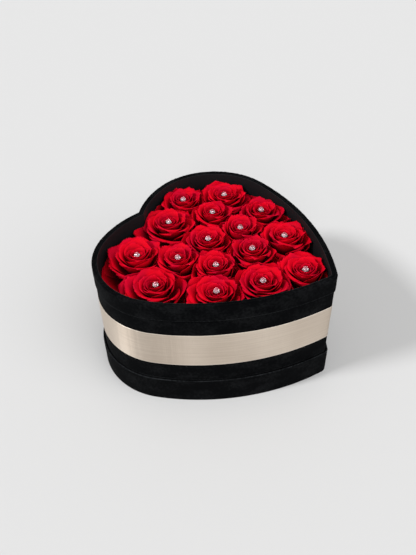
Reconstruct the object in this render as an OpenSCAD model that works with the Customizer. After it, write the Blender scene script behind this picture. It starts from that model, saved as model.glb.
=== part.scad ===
// Heart-shaped flower box: a velvet box with a satin ribbon stands in its own upturned lid,
// and a foam insert inside carries sixteen roses, each with a crystal-headed pin.
// Millimetres, +Z up, the tip of the heart towards -Y, the underside of the lid at Z = 0.

/* [Heart outline] */
// Width of the box across both lobes
heart_w = 312.8; // [260:0.2:360]
// Distance of each lobe's centre from the axis of symmetry
lobe_x = 62; // [50:1:74]
// Radius of the flat crown between a lobe and the cleft
crown_r = 143; // [120:1:170]
// Direction in which crown and lobe meet, in degrees
crown_deg = 82; // [76:1:88]
// Radius of the long sides
side_r = 322; // [290:1:360]
// Direction in which lobe and side meet, in degrees
side_deg = -20; // [-26:1:-14]
// Radius that rounds the tip
tip_r = 7; // [4:0.5:12]

/* [Lid] */
// Height of the lid
lid_h = 39; // [25:1:60]
// Thickness of the lid's panel
lid_panel_t = 2; // [1.5:0.1:4]
// Thickness of the lid's skirt
lid_wall_t = 1.8; // [1.2:0.1:3]
// Gap that lets the lid slide over the collar
lid_gap = 0.6; // [0.4:0.1:1.5]

/* [Box] */
// Height of the box
box_h = 169; // [140:1:220]
// Thickness of the outer wall
wall_t = 2.2; // [1.6:0.1:4]
// Thickness of the bottom board
base_t = 2.4; // [1.6:0.1:5]
// Thickness of the collar round the rim
collar_t = 1.2; // [0.8:0.1:2.5]
// Height of the collar
collar_h = 25; // [15:1:40]
// Thickness of the inner sleeve
sleeve_t = 3.2; // [2:0.1:5]
// Step from the collar's top down to the sleeve's edge
sleeve_step = 0.4; // [0.2:0.1:1.5]
// Thickness of the lining
lining_t = 0.6; // [0.5:0.1:1.5]
// Step from the sleeve's edge down to the lining
lining_step = 1; // [0.4:0.1:4]

/* [Ribbon] */
// Width of the ribbon
ribbon_w = 54; // [20:1:70]
// Thickness of the ribbon
ribbon_t = 0.5; // [0.3:0.1:1]
// Bare wall between the collar and the ribbon
ribbon_drop = 25; // [10:1:40]

/* [Insert] */
// Gap between the tray and the lining
tray_gap = 2; // [0.6:0.1:4]
// Wall of the waterproof tray
tray_t = 1; // [0.8:0.1:2]
// Drop of the tray's edge below the foam's top
tray_drop = 15; // [2:1:40]
// Gap between the foam and the tray
foam_gap = 0.3; // [0.2:0.1:1]
// Drop of the foam's top below the rim
foam_drop = 59.6; // [54:0.2:70]

/* [Roses] */
// Radius of the outermost petals' curve on the largest rose
rose_r = 36; // [32:0.5:38]
// Thickness of a petal
petal_t = 0.7; // [0.6:0.1:1]
// Radius of the closed bud in the middle
bud_r = 3.6; // [3:0.1:4.2]
// Drop of the roses' middle below the rim
rose_drop = 22; // [19:0.5:30]
// Length of the base of the flower below its middle
hip_h = 29.5; // [29:0.5:32]
// Gap kept between neighbouring roses
rose_gap = 0.8; // [0.5:0.1:2]
// Gap between the roses and the lining
rose_wall_gap = 1; // [0.6:0.1:3]
// Radius of a stem
stem_r = 2.6; // [2:0.1:3.5]
// Depth of a stem in the foam
stem_depth = 40; // [25:1:60]

/* [Pins] */
// Radius of a crystal
crystal_r = 3.7; // [3:0.1:4]
// Radius of a pin's shaft
pin_r = 0.5; // [0.4:0.05:0.7]
// Length of a pin's shaft
pin_len = 28; // [20:1:32]

/* [Hidden] */
$fn = 64;

// How far a cutting shape runs past what it cuts
overrun = 1;

// Offsets from the outer face of the box wall, outwards positive
lid_in = collar_t + lid_gap;
lid_out = lid_in + lid_wall_t;
sleeve_out = -wall_t;
sleeve_in = sleeve_out - sleeve_t;
lining_in = sleeve_in - lining_t;
tray_out = lining_in - tray_gap;
tray_in = tray_out - tray_t;
foam_out = tray_in - foam_gap;

// Heights
box_z = lid_panel_t;
floor_z = box_z + base_t;
rim_z = box_z + box_h;
collar_z = rim_z - collar_h;
ribbon_z = collar_z - ribbon_drop - ribbon_w;
foam_z = floor_z + tray_t;
foam_top = rim_z - foam_drop;
tray_top = foam_top - tray_drop;
rose_z = rim_z - rose_drop;
hip_z = rose_z - hip_h;

// Outline of the heart: crown, lobe, side and tip arcs, each tangent to the next
lobe_r = heart_w / 2 - lobe_x;
crown_x = lobe_x + (lobe_r - crown_r) * cos(crown_deg);
crown_y = (lobe_r - crown_r) * sin(crown_deg);
side_x = lobe_x + (lobe_r - side_r) * cos(side_deg);
side_y = (lobe_r - side_r) * sin(side_deg);
tip_y = side_y - sqrt(pow(side_r - tip_r, 2) - side_x * side_x);
// Least radius of the tip of an outline that is moved inwards
tip_min_r = 3;
// Direction, beyond the cleft, in which a crown's slice ends inside the other half
past_cleft_deg = 125;
// Corners of the slices: their share of the radius, and how far they reach into the heart
arc_margin = 1.2;
lap = 10;
waist = 40;
// How far the tighter arcs stand proud of the flatter ones, so that their circles cross
crossing = 0.02;
heart_shift = -(crown_y + crown_r + tip_y - tip_r) / 2;
reach = 2 * heart_w;

function arc_point(c, r, a) = [c[0] + r * cos(a), c[1] + r * sin(a)];

// Tip of an outline moved by t: its radius shrinks with the offset, but not below the least one
function tip_radius(t) = max(tip_r + t, tip_min_r);
function tip_centre(t) =
    [0, side_y - sqrt(pow(side_r + t - tip_radius(t), 2) - side_x * side_x)];
function tip_turn(t) = atan2(tip_centre(t)[1] - side_y, -side_x);

// Slice of a disc of radius r between two directions, widened inwards to the given points
module arc_piece(c, r, a, b, inner) {
    intersection() {
        translate(c) circle(r = r);
        polygon(concat(
            [for (d = [a, (a + b) / 2, b]) arc_point(c, r * arc_margin, d)], inner));
    }
}

// Right half of the heart without its tip, the outline moved outwards by t
module half_heart(t) {
    tip_c = tip_centre(t);
    translate([lobe_x, 0]) circle(r = lobe_r + t);
    arc_piece([crown_x, crown_y], crown_r - crossing + t, crown_deg, past_cleft_deg,
              [[crown_x, crown_y]]);
    arc_piece([side_x, side_y], side_r - crossing + t, tip_turn(t), side_deg,
              [[lobe_x, 0], [-lap, 0], [-lap, tip_c[1] + waist], tip_c]);
}

module heart(t) {
    translate([0, heart_shift]) {
        translate(tip_centre(t)) circle(r = tip_radius(t));
        half_heart(t);
        mirror([1, 0]) half_heart(t);
    }
}

// Board that follows the outline, between heights z and z + h
module plate(t, z, h) {
    translate([0, 0, z]) linear_extrude(height = h) heart(t);
}

// Wall that follows the outline, between two offsets
module wall(t_out, t_in, z, h) {
    translate([0, 0, z]) linear_extrude(height = h) difference() {
        heart(t_out);
        heart(t_in);
    }
}

module lid_panel() {
    color("#161616") plate(lid_out, 0, lid_panel_t);
}

module lid_skirt() {
    color("#1a1a1a") wall(lid_out, lid_in, lid_panel_t, lid_h - lid_panel_t);
}

module base_board() {
    color("#2b2b2b") plate(-wall_t, box_z, base_t);
}

module body_wall() {
    color("#121212") wall(0, -wall_t, box_z, box_h - collar_t);
}

module rim_collar() {
    color("#1c1c1c") {
        wall(collar_t, 0, collar_z, collar_h - collar_t);
        wall(collar_t, -wall_t, rim_z - collar_t, collar_t);
    }
}

module inner_sleeve() {
    color("#202020") wall(sleeve_out, sleeve_in, floor_z, rim_z - sleeve_step - floor_z);
}

module lining() {
    color("#2c2426") wall(sleeve_in, lining_in, floor_z, rim_z - sleeve_step - lining_step - floor_z);
}

module ribbon_band() {
    color("#c9b9a8") wall(ribbon_t, 0, ribbon_z, ribbon_w);
}

module liner_tray() {
    color("#3c4246") {
        plate(tray_out, floor_z, tray_t);
        wall(tray_out, tray_in, foam_z, tray_top - foam_z);
    }
}

// Places of the roses, as shares of half the heart's width and length from its middle
heart_l = crown_y + crown_r - tip_y + tip_r;
place_shares = [
    [0.460, 0.738], [0.716, 0.419], [0.646, -0.021], [0.407, 0.373],
    [0.086, 0.659], [0.312, 0.023], [0.036, 0.201], [0.384, -0.381],
    [-0.447, 0.639], [-0.309, 0.301], [-0.240, -0.039], [0.094, -0.210],
    [0.047, -0.725], [-0.686, 0.275], [-0.518, -0.204], [-0.235, -0.478],
];
// Size of each rose, as a share of the largest
size_shares = [0.90, 1, 0.92, 0.86, 1, 0.84, 0.88, 0.94, 1, 0.90, 0.86, 0.86, 0.92, 1, 0.98, 1];
// Turn of each rose about its stem, in degrees
turns = [0, 205, 74, 310, 148, 20, 262, 118, 330, 55, 190, 285, 95, 235, 10, 165];
roses = len(place_shares);
function place(i) = [place_shares[i][0] * heart_w / 2, place_shares[i][1] * heart_l / 2];
function size(i) = rose_r * size_shares[i];

// Petals of one rose: shells about a rising centre, each turned from the last by the golden angle
petals = 13;
golden_deg = 137.5;
// Step from the bud to the first petal, and how the later ones spread out
petal_step = 1.3;
spread_power = 1.05;
// Rise of a shell's centre for each step of its radius away from the turnover radius
rise_share = 0.38;
turnover_r = 13;
// Angle between the axis and the rim, and angle that a petal spans, first and last
rim_in_deg = 30;
rim_out_deg = 105;
span_in_deg = 168;
span_out_deg = 112;
// Radius of the rim's rounding, as a share of the shell's
round_share = 1.12;
// Radius round the axis at which a petal begins, first and last
root_in_r = 1.2;
root_out_r = 2;
function share(k) = k / (petals - 1);
function shell_r(r, k) =
    bud_r + petal_step + (r - petal_t - bud_r - petal_step) * pow(share(k), spread_power);
function shell_z(q) = rise_share * (q > turnover_r ? q - turnover_r : turnover_r - q);
function root_r(k) = root_in_r + (root_out_r - root_in_r) * share(k);
function rim_deg(k) = rim_in_deg + (rim_out_deg - rim_in_deg) * share(k);
function span_deg(k) = span_in_deg + (span_out_deg - span_in_deg) * share(k);
bud_z = shell_z(bud_r);
pin_tip_z = bud_z + bud_r;

module petal(r, k) {
    q = shell_r(r, k);
    w = q * round_share;
    intersection() {
        translate([0, 0, shell_z(q)]) rotate([0, 0, -span_deg(k) / 2])
        rotate_extrude(angle = span_deg(k)) intersection() {
            difference() {
                circle(r = q + petal_t);
                circle(r = q);
            }
            translate([root_r(k), -2 * q]) square([2 * q, 4 * q]);
        }
        translate([0, 0, shell_z(q) + q * cos(rim_deg(k)) - w])
        rotate([0, 90, 0]) cylinder(r = w, h = 2 * q);
    }
}

// Base of the flower: its radius at the bottom and below the bud
hip_r = 7.5;
throat_r = 3;

// The petals up to number k, each joined to the body that carries the earlier ones
module bloom(r, k) {
    union() {
        if (k < 0) {
            translate([0, 0, bud_z]) sphere(r = bud_r);
            translate([0, 0, -hip_h]) cylinder(r1 = hip_r, r2 = throat_r, h = hip_h + bud_z);
        } else {
            bloom(r, k - 1);
            rotate([0, 0, golden_deg * k]) petal(r, k);
        }
    }
}

// Flower on its own axis, its middle at the origin, with a bore for the pin
module rose_head(r) {
    difference() {
        bloom(r, petals - 1);
        translate([0, 0, pin_tip_z - pin_len]) cylinder(r = pin_r, h = pin_len + overrun);
    }
}

function neighbours(i) =
    [for (j = [0:roses - 1]) if (j != i && norm(place(j) - place(i)) < 2 * rose_r + rose_gap) j];

// Floor area that belongs to one rose: what is nearer to it than to its neighbours
module cell(i) {
    intersection() {
        heart(lining_in - rose_wall_gap);
        intersection_for (j = neighbours(i)) cell_side(i, j);
    }
}

// Half plane on rose i's side of the gap to rose j
module cell_side(i, j) {
    way = place(j) - place(i);
    d = norm(way);
    near = (d * d + size(i) * size(i) - size(j) * size(j)) / (2 * d) - rose_gap / 2;
    translate(place(i)) rotate(atan2(way[1], way[0]))
    translate([-reach, -reach]) square([reach + near, 2 * reach]);
}

module rose(i) {
    color("#b00016") intersection() {
        translate([place(i)[0], place(i)[1], rose_z]) rotate([0, 0, turns[i]]) rose_head(size(i));
        translate([0, 0, hip_z]) linear_extrude(height = rim_z - hip_z) cell(i);
    }
}

module rose_01() { rose(0); }
module rose_02() { rose(1); }
module rose_03() { rose(2); }
module rose_04() { rose(3); }
module rose_05() { rose(4); }
module rose_06() { rose(5); }
module rose_07() { rose(6); }
module rose_08() { rose(7); }
module rose_09() { rose(8); }
module rose_10() { rose(9); }
module rose_11() { rose(10); }
module rose_12() { rose(11); }
module rose_13() { rose(12); }
module rose_14() { rose(13); }
module rose_15() { rose(14); }
module rose_16() { rose(15); }

// Calyx under the flower: its height and its share of the flower's foot
calyx_h = 6;
calyx_share = 0.96;

// Stem with the calyx that the flower sits on
module stem(i) {
    color("#3f5a2a") translate([place(i)[0], place(i)[1], 0]) {
        translate([0, 0, foam_top - stem_depth])
        cylinder(r = stem_r, h = stem_depth + hip_z - foam_top);
        translate([0, 0, hip_z - calyx_h])
        cylinder(r1 = stem_r, r2 = hip_r * calyx_share, h = calyx_h);
    }
}

module stem_01() { stem(0); }
module stem_02() { stem(1); }
module stem_03() { stem(2); }
module stem_04() { stem(3); }
module stem_05() { stem(4); }
module stem_06() { stem(5); }
module stem_07() { stem(6); }
module stem_08() { stem(7); }
module stem_09() { stem(8); }
module stem_10() { stem(9); }
module stem_11() { stem(10); }
module stem_12() { stem(11); }
module stem_13() { stem(12); }
module stem_14() { stem(13); }
module stem_15() { stem(14); }
module stem_16() { stem(15); }

module foam_block() {
    color("#1e4d2f") difference() {
        plate(foam_out, foam_z, foam_top - foam_z);
        for (i = [0:roses - 1])
            translate([place(i)[0], place(i)[1], foam_top - stem_depth])
            cylinder(r = stem_r, h = stem_depth + overrun);
    }
}

// Cup of a pin
cup_h = 2;
cup_foot_r = 1.5;
cup_edge = 0.4;
// Thickness of the cup's foot, on which the crystal sits
seat_h = 0.8;
cup_z = rose_z + pin_tip_z;
crystal_in_r = crystal_r - cup_edge;

// Pin: a straight shaft under a cup that holds the crystal
module pin(i) {
    color("#c8c8cc") translate([place(i)[0], place(i)[1], 0]) {
        translate([0, 0, cup_z - pin_len]) cylinder(r = pin_r, h = pin_len + seat_h);
        difference() {
            translate([0, 0, cup_z]) cylinder(r1 = cup_foot_r, r2 = crystal_r, h = cup_h);
            translate([0, 0, cup_z + seat_h])
            cylinder(r1 = cup_foot_r, r2 = crystal_in_r, h = cup_h - seat_h);
        }
    }
}

module pin_01() { pin(0); }
module pin_02() { pin(1); }
module pin_03() { pin(2); }
module pin_04() { pin(3); }
module pin_05() { pin(4); }
module pin_06() { pin(5); }
module pin_07() { pin(6); }
module pin_08() { pin(7); }
module pin_09() { pin(8); }
module pin_10() { pin(9); }
module pin_11() { pin(10); }
module pin_12() { pin(11); }
module pin_13() { pin(12); }
module pin_14() { pin(13); }
module pin_15() { pin(14); }
module pin_16() { pin(15); }

// Cut of a crystal: facets round it, height of its crown and width of its table
facets = 10;
crown_h = 1.7;
table_share = 0.55;

// Crystals: a cone of facets in the cup, a crown of facets and a flat table above it
module crystals() {
    color("#e6edf2") for (i = [0:roses - 1])
        translate([place(i)[0], place(i)[1], cup_z + seat_h]) {
            cylinder(r1 = cup_foot_r, r2 = crystal_in_r, h = cup_h - seat_h, $fn = facets);
            translate([0, 0, cup_h - seat_h])
            cylinder(r1 = crystal_in_r, r2 = crystal_in_r * table_share, h = crown_h, $fn = facets);
        }
}

lid_panel();
lid_skirt();
base_board();
body_wall();
rim_collar();
inner_sleeve();
lining();
ribbon_band();
liner_tray();
foam_block();
crystals();
rose_01();
rose_02();
rose_03();
rose_04();
rose_05();
rose_06();
rose_07();
rose_08();
rose_09();
rose_10();
rose_11();
rose_12();
rose_13();
rose_14();
rose_15();
rose_16();
stem_01();
stem_02();
stem_03();
stem_04();
stem_05();
stem_06();
stem_07();
stem_08();
stem_09();
stem_10();
stem_11();
stem_12();
stem_13();
stem_14();
stem_15();
stem_16();
pin_01();
pin_02();
pin_03();
pin_04();
pin_05();
pin_06();
pin_07();
pin_08();
pin_09();
pin_10();
pin_11();
pin_12();
pin_13();
pin_14();
pin_15();
pin_16();
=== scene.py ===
"""A heart-shaped flower box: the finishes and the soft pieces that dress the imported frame."""

import logging
import math
from collections.abc import Sequence
from dataclasses import dataclass, field
from enum import Enum
from functools import partialmethod
from typing import NamedTuple

import bmesh
import bpy
import numpy as np
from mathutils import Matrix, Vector

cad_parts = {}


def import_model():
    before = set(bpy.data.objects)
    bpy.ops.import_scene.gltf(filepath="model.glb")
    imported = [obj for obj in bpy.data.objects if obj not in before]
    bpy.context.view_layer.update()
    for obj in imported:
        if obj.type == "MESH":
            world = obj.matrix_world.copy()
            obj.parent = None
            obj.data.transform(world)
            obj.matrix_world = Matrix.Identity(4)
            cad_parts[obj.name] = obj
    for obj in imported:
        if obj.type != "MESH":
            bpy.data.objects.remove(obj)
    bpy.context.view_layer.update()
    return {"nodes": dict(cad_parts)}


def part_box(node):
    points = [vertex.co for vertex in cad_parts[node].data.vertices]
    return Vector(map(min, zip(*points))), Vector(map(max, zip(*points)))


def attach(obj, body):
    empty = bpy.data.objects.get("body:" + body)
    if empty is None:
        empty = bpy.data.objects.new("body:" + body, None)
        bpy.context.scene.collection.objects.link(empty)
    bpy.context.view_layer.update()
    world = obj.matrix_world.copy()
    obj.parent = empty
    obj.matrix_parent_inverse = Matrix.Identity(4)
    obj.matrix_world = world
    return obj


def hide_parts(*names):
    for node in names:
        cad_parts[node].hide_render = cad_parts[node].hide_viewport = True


log = logging.getLogger("flower_box")

MM = 0.001
RAD = math.pi / 180
QUARTER_DEG = 90
CORNER_POINTS = 6
Material = bpy.types.Material
Mesh = bpy.types.Mesh
Socket = bpy.types.NodeSocket
Pair = tuple[float, float]
Triple = tuple[float, float, float]
Colour = Triple
# A value at the start and what it gains for each unit of the number that it follows
Line = Pair
# Where a smooth step begins and ends, and its values there
Step = tuple[float, float, float, float]


class Body(Enum):
    """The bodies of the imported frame."""

    LID = "lid"
    BOX = "box"
    INSERT = "insert"


class Slot(Enum):
    """The record's material slots."""

    VELVET = "velvet"
    LINING = "lining"
    RIBBON = "ribbon"
    PETAL = "petal"
    CRYSTAL = "crystal"


class Layer(NamedTuple):
    """A layer of noise: its blots in a metre, weight, finer layers and squeeze along each axis."""

    scale: float
    weight: float = 1.0
    detail: float = 2.0
    stretch: Triple = (1.0, 1.0, 1.0)


def put(name: str, data: bpy.types.ID) -> bpy.types.Object:
    """Puts a new object into the scene.

    Args:
        name: The object's name.
        data: Its mesh, lamp or lens.

    Returns:
        The object.
    """
    thing = bpy.data.objects.new(name, data)
    bpy.context.scene.collection.objects.link(thing)
    return thing


@dataclass(frozen=True)
class Num:
    """A number in a node tree, carried by an output socket, whose arithmetic adds Math nodes."""

    graph: "Graph"
    socket: Socket

    def math(self, operation: str, *others: "Num | float") -> "Num":
        """Adds one Math node.

        Args:
            operation: The node's operation.
            others: The second and third input.

        Returns:
            The node's result.
        """
        node = self.graph.add("ShaderNodeMath", operation=operation)
        for place, value in zip(node.inputs, (self, *others), strict=False):
            self.graph.feed(place, value)
        return Num(self.graph, node.outputs[0])

    __add__ = partialmethod(math, "ADD")
    __sub__ = partialmethod(math, "SUBTRACT")
    __mul__ = partialmethod(math, "MULTIPLY")
    __truediv__ = partialmethod(math, "DIVIDE")
    __pow__ = partialmethod(math, "POWER")
    __abs__ = partialmethod(math, "ABSOLUTE")

    def __rsub__(self, other: float) -> "Num":
        """The difference, taken from a plain number."""
        return self * -1.0 + other

    def ramp(self, low: float, high: float, start: float = 0.0, end: float = 1.0) -> "Num":
        """A smooth step from start to end as the number goes from low to high."""
        return Num(self.graph, self.graph.run("ShaderNodeMapRange", {
            "Value": self, "From Min": low, "From Max": high, "To Min": start, "To Max": end},
            interpolation_type="SMOOTHSTEP"))

    def line(self, line: Line) -> "Num":
        """The start of a line plus its gain times this number."""
        start, gain = line
        return self * gain + start


@dataclass
class Graph:
    """A shader or geometry tree and the few moves that build one."""

    tree: bpy.types.NodeTree

    def add(self, kind: str, **settings: object) -> bpy.types.Node:
        """Adds a node.

        Args:
            kind: The node's type name.
            settings: The node's own settings.

        Returns:
            The node.
        """
        node = self.tree.nodes.new(kind)
        for name, value in settings.items():
            setattr(node, name, value)
        return node

    def feed(self, place: Socket, value: object) -> None:
        """Links or sets one input.

        Args:
            place: The input socket.
            value: A Num, an output socket or a plain value; a colour needs no alpha.
        """
        if isinstance(value, Num):
            value = value.socket
        if isinstance(value, Socket):
            self.tree.links.new(value, place)
        elif place.type == "RGBA":
            place.default_value = (*value, 1.0)
        else:
            place.default_value = value

    def run(self, kind: str, inputs: dict[str, object], result: str | int = 0,
            **settings: object) -> Socket:
        """Adds a node and feeds its inputs by name.

        Args:
            kind: The node's type name.
            inputs: The inputs, by the names of the node's live sockets.
            result: The wanted output, by name or number.
            settings: The node's own settings.

        Returns:
            The wanted output.
        """
        node = self.add(kind, **settings)
        for name, value in inputs.items():
            live = [s for s in node.inputs if s.name == name and s.enabled]
            self.feed(live[0], value)
        if isinstance(result, int):
            return [s for s in node.outputs if s.enabled][result]
        return next(s for s in node.outputs if s.name == result and s.enabled)

    def split(self, place: Socket, axis: int) -> Num:
        """One coordinate of a place, by its number."""
        return Num(self, self.run("ShaderNodeSeparateXYZ", {"Vector": place}, axis))

    def blots(self, place: Socket, scale: float, detail: float) -> Num:
        """Noise at a place, from 0 to 1, with so many finer layers."""
        return Num(self, self.run("ShaderNodeTexNoise",
                                  {"Vector": place, "Scale": scale, "Detail": detail}))


class Recipe(Graph):
    """A geometry tree with named inputs."""

    def __init__(self, name: str, **inputs: str) -> None:
        """Makes the tree, its inputs and its one output.

        Args:
            name: The tree's name.
            inputs: The kind of each input's socket, by the input's name.
        """
        super().__init__(bpy.data.node_groups.new(name, "GeometryNodeTree"))
        sockets = self.tree.interface
        self.keys = {label: sockets.new_socket(
            name=label, in_out="INPUT", socket_type=f"NodeSocket{kind}").identifier
            for label, kind in inputs.items()}
        sockets.new_socket(name="Geometry", in_out="OUTPUT", socket_type="NodeSocketGeometry")
        self.source = self.add("NodeGroupInput")

    def given(self, label: str) -> Num:
        """The number that an input carries."""
        return Num(self, self.source.outputs[label])

    def named(self, label: str) -> Num:
        """The number stored on the points under this name."""
        return Num(self, self.run("GeometryNodeInputNamedAttribute", {"Name": label}, "Attribute",
                                  data_type="FLOAT"))

    def store(self, shape: Socket, label: str, value: Num) -> Socket:
        """The shape with a number stored on its points under this name."""
        return self.run("GeometryNodeStoreNamedAttribute",
                        {"Geometry": shape, "Name": label, "Value": value},
                        data_type="FLOAT", domain="POINT")

    def vector(self, x: object, y: object, z: object) -> Socket:
        """A vector of three numbers."""
        return self.run("ShaderNodeCombineXYZ", {"X": x, "Y": y, "Z": z})

    def finish(self, shape: Socket, smooth: bool) -> None:
        """Ends the tree in real, shaded and dressed faces.

        Args:
            shape: The shape to put out.
            smooth: Whether the faces are shaded smooth.
        """
        real = self.run("GeometryNodeRealizeInstances", {"Geometry": shape})
        shaded = self.run("GeometryNodeSetShadeSmooth", {"Geometry": real, "Shade Smooth": smooth})
        dressed = self.run("GeometryNodeSetMaterial",
                           {"Geometry": shaded, "Material": self.source.outputs["Material"]})
        self.tree.links.new(dressed, self.add("NodeGroupOutput").inputs[0])

    def grow(self, name: str, values: dict[str, object], thick: float = 0.0,
             points: Sequence[Triple] = ()) -> Mesh:
        """Runs the tree and turns its result into a plain mesh.

        Args:
            name: The mesh's name.
            values: The inputs, by name.
            thick: The thickness that the surface is given, or 0 for none.
            points: The points that a tree with a geometry input starts from.

        Returns:
            The mesh.
        """
        start = bpy.data.meshes.new(name)
        start.from_pydata(list(points), [], [])
        carrier = put(name, start)
        modifier = carrier.modifiers.new(name, "NODES")
        modifier.node_group = self.tree
        for label, value in values.items():
            modifier[self.keys[label]] = value
        if thick:
            solid = carrier.modifiers.new("thickness", "SOLIDIFY")
            solid.thickness = thick
            solid.offset = 0.0
        bpy.context.view_layer.update()
        graph = bpy.context.evaluated_depsgraph_get()
        mesh = bpy.data.meshes.new_from_object(carrier.evaluated_get(graph))
        mesh.name = name
        bpy.data.objects.remove(carrier)
        return mesh


class Paint(Graph):
    """A material's tree round one Principled shader."""

    def __init__(self, name: str) -> None:
        """Makes the material.

        Args:
            name: The material's name.
        """
        self.material = bpy.data.materials.new(name)
        self.material.use_nodes = True
        super().__init__(self.material.node_tree)
        self.shader = self.tree.nodes["Principled BSDF"]
        self.place = self.add("ShaderNodeTexCoord").outputs["Object"]

    def set(self, **values: object) -> None:
        """Sets or links the shader's inputs, named with _ for a space."""
        for name, value in values.items():
            self.feed(self.shader.inputs[name.replace("_", " ")], value)

    def noise(self, *layers: Layer, at: Socket | None = None) -> Num:
        """Noise over the piece, of one or more layers.

        Args:
            layers: The layers, added up by their weights.
            at: The coordinates, or None for the piece's own.

        Returns:
            The noise, about half the weights' sum on average.
        """
        parts = []
        for layer in layers:
            where = self.run("ShaderNodeMapping",
                             {"Vector": at or self.place, "Scale": layer.stretch})
            parts.append(self.blots(where, layer.scale, layer.detail) * layer.weight)
        return sum(parts[1:], parts[0])

    def stored(self, label: str) -> Num:
        """The number stored on the mesh under this name."""
        return Num(self, self.run("ShaderNodeAttribute", {}, "Fac", attribute_name=label))

    def mix(self, amount: Num, first: Colour | Socket, second: Colour | Socket) -> Socket:
        """The blend of two colours: the first where the amount is 0, the second where it is 1."""
        return self.run("ShaderNodeMix", {"Factor": amount, "A": first, "B": second}, "Result",
                        data_type="RGBA")

    def bump(self, height: Num, depth: float, strength: float = 1.0) -> None:
        """Raises the surface by a pattern, which is so many metres deep where it is 1."""
        self.set(Normal=self.run("ShaderNodeBump",
                                 {"Height": height, "Distance": depth, "Strength": strength}))


@dataclass(frozen=True)
class Velvet:
    """Black velvet whose nap lies in patches; where it turns over an edge, at the heights of the
    lid's top edge and the collar's lower edge, it is paler, partly worn and partly painted
    highlight.
    """

    deep: Colour = (0.0011, 0.0013, 0.0017)
    brushed: Colour = (0.0075, 0.008, 0.0088)
    # The colour of the painted highlight, partly worn, where the nap turns over an edge.
    edge_highlight: Colour = (0.022, 0.024, 0.026)
    nap: tuple[Layer, ...] = (Layer(30, 0.55, 3, (1, 1, 1.7)), Layer(300, 0.45, 3))
    nap_step: Pair = (0.42, 0.72)
    wear_and_highlight: tuple[Layer, ...] = (Layer(420, 0.5), Layer(25, 0.5))
    wear_and_highlight_step: Step = (0.38, 0.62, 0.1, 1.0)
    edges: tuple[float, ...] = (38.4 * MM, 146.4 * MM)
    edge_w: float = 0.9 * MM
    pile: tuple[Layer, ...] = (Layer(1500, 0.6), Layer(170, 0.4, 3))

    def material(self) -> Material:
        """Paints the velvet.

        Returns:
            The material.
        """
        paint = Paint("velvet")
        cloth = paint.mix(paint.noise(*self.nap).ramp(*self.nap_step), self.deep, self.brushed)
        height = paint.split(paint.place, 2)
        wear_and_highlight = paint.noise(*self.wear_and_highlight).ramp(*self.wear_and_highlight_step)
        # Painted highlight: a pale line at each of these heights on every velvet piece, broken into
        # worn patches.
        for edge in self.edges:
            near = 1.0 - (abs(height - edge) / self.edge_w).math("MINIMUM", 1.0)
            cloth = paint.mix(near * wear_and_highlight, cloth, self.edge_highlight)
        paint.set(Base_Color=cloth, Roughness=0.9, Sheen_Weight=0.01, Sheen_Roughness=0.5,
                  Specular_IOR_Level=0.02)
        paint.bump(paint.noise(*self.pile), depth=0.25 * MM, strength=0.6)
        return paint.material


@dataclass(frozen=True)
class Satin:
    """Cream satin, woven fine across the ribbon, with painted sheen in broad patches, and paler
    selvedges along both edges, partly their own weave and partly painted highlight.
    """

    # thread and shade are the lit and the shaded tone of the satin, mixed by the painted sheen.
    thread: Colour = (0.65, 0.565, 0.475)
    shade: Colour = (0.47, 0.39, 0.315)
    selvedge_highlight: Colour = (0.86, 0.78, 0.68)
    low: float = 67 * MM
    high: float = 121 * MM
    edge_out: float = 0.4 * MM
    edge_in: float = 1.1 * MM
    edge_share: float = 0.7
    weave: tuple[Layer, ...] = (Layer(1, 0.5, 2, (60, 2600, 1)), Layer(1, 0.5, 2, (2600, 60, 1)))
    sheen: tuple[Layer, ...] = (Layer(1, 0.6, 2, (9, 3, 1)), Layer(1, 0.25, 2, (11, 520, 1)))
    sheen_weave: float = 0.15
    sheen_step: Pair = (0.32, 0.68)
    pull: Layer = Layer(1, 0.93, 2, (210, 5, 1))
    pull_weave: float = 0.07

    def material(self) -> Material:
        """Paints the satin.

        Returns:
            The material.
        """
        paint = Paint("satin")
        cloth = paint.add("ShaderNodeUVMap", uv_map="cloth").outputs[0]
        weave = paint.noise(*self.weave, at=cloth)
        # Painted sheen: broad lighter and darker patches along the ribbon, with fine streaks and
        # the weave.
        sheen = paint.noise(*self.sheen, at=cloth) + weave * self.sheen_weave
        up = paint.split(cloth, 1)
        # Paler lines along both edges: partly the selvedges' own weave, partly painted highlight
        # where the rolled edges catch the light.
        edge = up.ramp(self.low + self.edge_out, self.low + self.edge_in, 1.0, 0.0)
        edge = edge + up.ramp(self.high - self.edge_in, self.high - self.edge_out)
        body = paint.mix(sheen.ramp(*self.sheen_step), self.shade, self.thread)
        paint.set(Base_Color=paint.mix(edge * self.edge_share, body, self.selvedge_highlight),
                  Metallic=0.7, Roughness=0.4, Anisotropic=0.95, Anisotropic_Rotation=0.25,
                  Tangent=paint.run("ShaderNodeTangent", {}, direction_type="UV_MAP",
                                    uv_map="cloth"))
        paint.bump(paint.noise(self.pull, at=cloth) + weave * self.pull_weave, depth=0.34 * MM)
        return paint.material


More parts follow.
